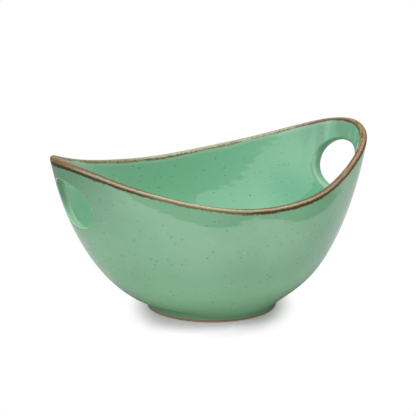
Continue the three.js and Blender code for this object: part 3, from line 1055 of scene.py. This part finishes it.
def glaze_material(name, finish):
    """Speckled green glaze that breaks to brown over the lip and in a line round the foot."""
    material, graph = new_material(name)
    at = GlazePlace(graph)
    green, sill = green_colours(graph, finish, at)
    brown, on_lip, crest = brown_colours(graph, finish, at)
    foot = at.height + at.ragged * 0.3
    surface = graph.layered(
        green,
        (on_lip, brown),
        ((1 - foot.between(2.4, 3.0)) * 0.45, finish.edge_cream),
        (1 - foot.between(1.9, 2.3), finish.foot_brown),
        (1 - foot.between(1.0, 1.4), finish.foot_olive),
    )
    roughness = 0.02 + at.grain * 0.02 + on_lip * (0.25 + crest * 0.45) + at.lining * 0.15 + sill * 0.55
    rings = graph.noise(graph.scaled(at.place, (0.3, 0.3, 1)), 4 * MM, 0.0)
    swell = graph.noise(at.place, 30 * MM, 1.0) * 0.6 + graph.noise(at.place, 12 * MM, 0.0) * 0.12
    normal = graph.bump(swell + rings * 0.12, 0.4, 1 * MM)
    sockets = {"Base Color": surface, "Roughness": roughness, "IOR": 1.5, "Normal": normal}
    graph.end(graph.add("ShaderNodeBsdfPrincipled", {}, sockets))
    return material


def clay_material(name, finish):
    """Bare fired clay: sandy grain in two tones, dull and slightly rough to the touch."""
    material, graph = new_material(name)
    place = graph.add("ShaderNodeTexCoord", output="Object")
    grain = graph.noise(place, 0.8 * MM, 4.0)
    cloud = graph.noise(place, 12 * MM, 3.0)
    tone = (grain * 0.6 + cloud * 0.4).between(0.38, 0.62)
    grit = graph.dots(place, 2.2 * MM, 0.35 * MM)
    surface = graph.layered(finish.dark_clay, (tone, finish.clay), (grit * 0.6, finish.speck))
    normal = graph.bump(grain, 0.35, 0.3 * MM)
    sockets = {"Base Color": surface, "Roughness": 0.75 + grain * 0.15, "Normal": normal}
    graph.end(graph.add("ShaderNodeBsdfPrincipled", {}, sockets))
    return material


def finished(context, name, maker):
    """The material of that name, made the first time that a piece asks for it."""
    return bpy.data.materials.get(name) or maker(name, context.scene.bowl_finish)


class BOWL_OT_clay_body(Operator):
    """Make the fired clay under the glazes: the bowl and its foot ring"""

    bl_idname = "bowl.clay_body"
    bl_label = "Clay Body"

    def execute(self, context):
        """The clay of the bowl, and of the ring that it stands on."""
        form = BowlForm(context.scene.bowl_sizes)
        clay = finished(context, "fired_clay", clay_material)
        place("stoneware", self.bowl_mesh(form), "stoneware_bowl", "bare_clay", clay)
        place("foot_clay", self.foot_mesh(form), "foot_ring", "bare_clay", clay)
        return {"FINISHED"}

    def bowl_mesh(self, form):
        """One closed skin a glaze's depth under every finished surface, above the foot ring."""
        s = form.s
        roof = (RECESS_ROOF - s.foot_height) / (s.foot_height - s.foot_band_high)
        sheets = [outside_sheet(form, roof)[0], lip_sheet(form)[0], inside_sheet(form)[0]]
        opening = opening_sheet(form)[0]
        mesh = bpy.data.meshes.new("stoneware")
        merged = bmesh.new()
        for sheet in (*sheets, opening, opening.turned()):
            part = mesh_of("part", sheet.at_depth(s.glaze + CLAY_GAP))
            merged.from_mesh(part)
            bpy.data.meshes.remove(part)
        bmesh.ops.remove_doubles(merged, verts=merged.verts, dist=WELD)
        open_edges = [edge for edge in merged.edges if edge.is_boundary]
        bmesh.ops.holes_fill(merged, edges=open_edges, sides=0)
        merged.to_mesh(mesh)
        merged.free()
        mesh.shade_smooth()
        return mesh

    def foot_mesh(self, form):
        """The ring in section: its rounded inner edge, the flat on the table, the side and the top."""
        s = form.s
        heights = np.linspace(s.foot_band_low, RECESS_ROOF, PROFILE_STEPS)
        radii = form.foot_side(np.zeros(PROFILE_STEPS), heights)[:, 0] - s.glaze
        round_middle = [s.foot_radius - s.foot_width + s.foot_inner_edge, s.foot_inner_edge]
        inner_edge = quarter_round(round_middle, s.foot_inner_edge, 180)
        side = np.stack([radii, heights], -1)
        top = [[form.recess_radius, RECESS_ROOF], inner_edge[0]]
        return lathed_mesh("foot_clay", np.concatenate([inner_edge, [[s.foot_radius, 0]], side, top]))


class BOWL_OT_green_glaze(Operator):
    """Make the green coats: outside, inside, openings and the disc under the floor"""

    bl_idname = "bowl.green_glaze"
    bl_label = "Green Glaze"

    def execute(self, context):
        """Coats of the wall's two faces and of the openings, flush where they meet."""
        form = BowlForm(context.scene.bowl_sizes)
        green = finished(context, "speckled_green", glaze_material)
        depth = form.s.glaze
        for name, node, maker in (
            ("outer_glaze", "outside_glaze", outside_sheet),
            ("inner_glaze", "inside_glaze", inside_sheet),
        ):
            sheet, across = maker(form)
            mesh = coat_of(name, sheet, depth)
            store(mesh, "across_lip", across)
            place(name, mesh, node, "green_glaze", green)
        sheet, arris = opening_sheet(form)
        for name, node, side in (
            ("right_opening_edge", "right_opening_glaze", sheet),
            ("left_opening_edge", "left_opening_glaze", sheet.turned()),
        ):
            mesh = coat_of(name, side, depth)
            store(mesh, "across_lip", FAR_OUTSIDE)
            store(mesh, "arris", arris)
            store(mesh, "wiped", 1.0)
            place(name, mesh, node, "green_glaze", green)
        self.make_base(form, green)
        return {"FINISHED"}

    def make_base(self, form, green):
        """The disc of glaze under the floor, with a rounded edge."""
        glaze = form.s.glaze
        radius = form.recess_radius - BASE_GAP
        low = RECESS_ROOF - glaze
        edge = quarter_round([radius - glaze, RECESS_ROOF], glaze, 270)
        profile = np.concatenate([[[0, low], [radius / 2, low]], edge, [[0, RECESS_ROOF]]])
        mesh = lathed_mesh("base_disc", profile)
        store(mesh, "across_lip", FAR_OUTSIDE)
        place("base_disc", mesh, "base_glaze", "green_glaze", green)


class BOWL_OT_brown_glaze(Operator):
    """Make the brown coats: over the lip and round the foot"""

    bl_idname = "bowl.brown_glaze"
    bl_label = "Brown Glaze"

    def execute(self, context):
        """The lip's half round with a strip down each face, and the line round the foot."""
        form = BowlForm(context.scene.bowl_sizes)
        brown = finished(context, "broken_brown", glaze_material)
        sheet, across = lip_sheet(form)
        mesh = coat_of("brown_lip", sheet, form.s.glaze)
        store(mesh, "across_lip", across)
        place("brown_lip", mesh, "lip_band", "brown_glaze", brown)
        mesh = coat_of("foot_line", foot_band_sheet(form), form.s.glaze)
        store(mesh, "across_lip", FAR_OUTSIDE)
        place("foot_line", mesh, "foot_band", "brown_glaze", brown)
        return {"FINISHED"}


class BOWL_OT_studio(Operator):
    """Make the floor, the light and the camera"""

    bl_idname = "bowl.studio"
    bl_label = "Studio"

    def execute(self, context):
        """A pale floor under an even sky with two soft lamps, and the camera at the picture's angle."""
        studio = context.scene.bowl_studio
        self.make_floor(studio)
        self.make_light(context, studio)
        self.make_camera(context, studio)
        context.scene.view_settings.view_transform = "Standard"
        return {"FINISHED"}

    def make_floor(self, studio):
        """A wide level square under the foot, with a look of its own for the camera and for the glaze."""
        corners = np.array([[-1, -1, 0], [1, -1, 0], [1, 1, 0], [-1, 1, 0]]) * FLOOR_HALF
        mesh = mesh_of("floor", Sheet(corners, np.array([[0, 1, 2, 3]])))
        material, graph = new_material("studio_floor")
        place = graph.add("ShaderNodeTexCoord", output="Object")
        turn = studio.view_turn
        right = graph.along(place, (math.cos(turn), math.sin(turn), 0))
        front = graph.along(place, (math.sin(turn), -math.cos(turn), 0))
        camera_ray = graph.add("ShaderNodeLightPath", output="Is Camera Ray")
        mirrored = self.mirrored_table(graph, studio, right, front)
        unseen = graph.blend(camera_ray.other("Is Glossy Ray"), graph.diffuse(studio.floor), mirrored)
        graph.end(graph.blend(camera_ray, unseen, self.seen_table(graph, studio, right, front)))
        mesh.materials.append(material)
        floor = bpy.data.objects.new("floor", mesh)
        bpy.context.collection.objects.link(floor)

    def mirrored_table(self, graph, studio, right, front):
        """What the glaze reflects: a table with rounded corners, pale in front, and the dark past it."""
        past_front = eighth_power((front - right * studio.table_slant) / studio.table_front)
        past_side = eighth_power(right / studio.table_side)
        past_edge = (past_front + past_side).between(0.92, 1.08) * front.between(-0.2, -0.1)
        past_edge = 1 - (1 - past_edge) * right.between(-0.34, -0.12)
        table_back, table_front = graph.diffuse(studio.mirrored_back), graph.diffuse(studio.mirrored)
        table = graph.blend(front.between(-0.12, 0.22), table_back, table_front)
        return graph.blend(past_edge, table, graph.diffuse(studio.beyond))

    def seen_table(self, graph, studio, right, front):
        """What the camera sees: white, but for the bowl's shadow, which is tinted least at its edge."""
        from_bowl = squared(right / studio.shade_across) + squared(front / studio.shade_front)
        foot_shade = [channel * studio.shade_gain for channel in studio.shade]
        edge_shade = [(1 + channel) / 2 * studio.edge_gain for channel in studio.shade]
        beside_end = abs(right + 0.026).between(0.0, 0.03)
        edge = from_bowl.between(0.25, 0.55) * (0.35 + beside_end * 0.65)
        shade = graph.blend(edge, graph.diffuse(foot_shade), graph.diffuse(edge_shade))
        white = graph.add("ShaderNodeEmission", {}, {"Color": WHITE})
        return graph.blend(from_bowl.between(0.3, 1.0), shade, white)

    def make_light(self, context, studio):
        """An even white sky, a large soft lamp straight above and one to the left of the camera."""
        world = bpy.data.worlds.new("studio_sky")
        context.scene.world = world
        world.use_nodes = True
        graph = Graph(world.node_tree)
        sky = graph.add("ShaderNodeBackground", {}, {"Color": WHITE, "Strength": studio.sky})
        white = graph.add("ShaderNodeBackground", {}, {"Color": WHITE, "Strength": 1.0})
        camera_ray = graph.add("ShaderNodeLightPath", output="Is Camera Ray")
        graph.end(graph.blend(camera_ray, sky, white), "ShaderNodeOutputWorld")
        side = studio.overhead_size
        overhead = self.make_lamp("overhead_lamp", studio.overhead, side, side)
        overhead.matrix_world = self.facing(Vector(), studio.overhead_height, 0, math.pi / 2)
        beside = self.make_lamp("side_lamp", studio.side_light, studio.side_width, studio.side_height)
        beside.matrix_world = self.facing(
            Vector(), studio.side_distance, studio.side_turn, studio.side_rise
        )

    def make_lamp(self, name, watts, width, height):
        """A rectangular soft lamp."""
        data = bpy.data.lights.new(name, "AREA")
        data.energy = watts
        data.shape = "RECTANGLE"
        data.size, data.size_y = width, height
        lamp = bpy.data.objects.new(name, data)
        bpy.context.collection.objects.link(lamp)
        return lamp

    def facing(self, target, distance, turn, rise):
        """Place of a lamp or camera that faces a target from an angle round it and above it."""
        back = Vector((math.sin(turn) * math.cos(rise), -math.cos(turn) * math.cos(rise), math.sin(rise)))
        right = Vector((math.cos(turn), math.sin(turn), 0))
        axes = Matrix((right, back.cross(right), back)).transposed().to_4x4()
        return Matrix.Translation(target + back * distance) @ axes

    def make_camera(self, context, studio):
        """A long lens that looks down on the bowl from beside its front."""
        turn, across = studio.view_turn, studio.aim_across
        target = Vector((across * math.cos(turn), across * math.sin(turn), studio.aim_height))
        data = bpy.data.cameras.new("camera")
        data.lens = studio.focal_length
        data.sensor_width = SENSOR_MM
        camera = bpy.data.objects.new("camera", data)
        camera.matrix_world = self.facing(target, studio.distance, turn, studio.view_rise)
        bpy.context.collection.objects.link(camera)
        context.scene.camera = camera


PIECES = (BOWL_OT_clay_body, BOWL_OT_green_glaze, BOWL_OT_brown_glaze, BOWL_OT_studio)


class BOWL_PT_sidebar(Panel):
    """Serving bowl"""

    bl_idname = "BOWL_PT_sidebar"
    bl_label = "Serving Bowl"
    bl_space_type = "VIEW_3D"
    bl_region_type = "UI"
    bl_category = "Serving Bowl"

    def draw(self, context):
        """One button for each operator."""
        for piece in PIECES:
            self.layout.operator(piece.bl_idname)


GROUPS = {
    "bowl_sizes": BOWL_PG_sizes,
    "bowl_finish": BOWL_PG_finish,
    "bowl_studio": BOWL_PG_studio,
}
CLASSES = (*GROUPS.values(), *PIECES, BOWL_PT_sidebar)


def register():
    """Adds the classes and the scene's settings."""
    for cls in CLASSES:
        bpy.utils.register_class(cls)
    for name, group in GROUPS.items():
        setattr(bpy.types.Scene, name, PointerProperty(type=group))


def unregister():
    """Takes them away again."""
    for name in GROUPS:
        delattr(bpy.types.Scene, name)
    for cls in reversed(CLASSES):
        bpy.utils.unregister_class(cls)


def main():
    """Makes every piece and the studio."""
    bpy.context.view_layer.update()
    register()
    bpy.ops.bowl.clay_body()
    bpy.ops.bowl.green_glaze()
    bpy.ops.bowl.brown_glaze()
    bpy.ops.bowl.studio()
    bpy.context.view_layer.update()


if __name__ == "__main__":
    main()
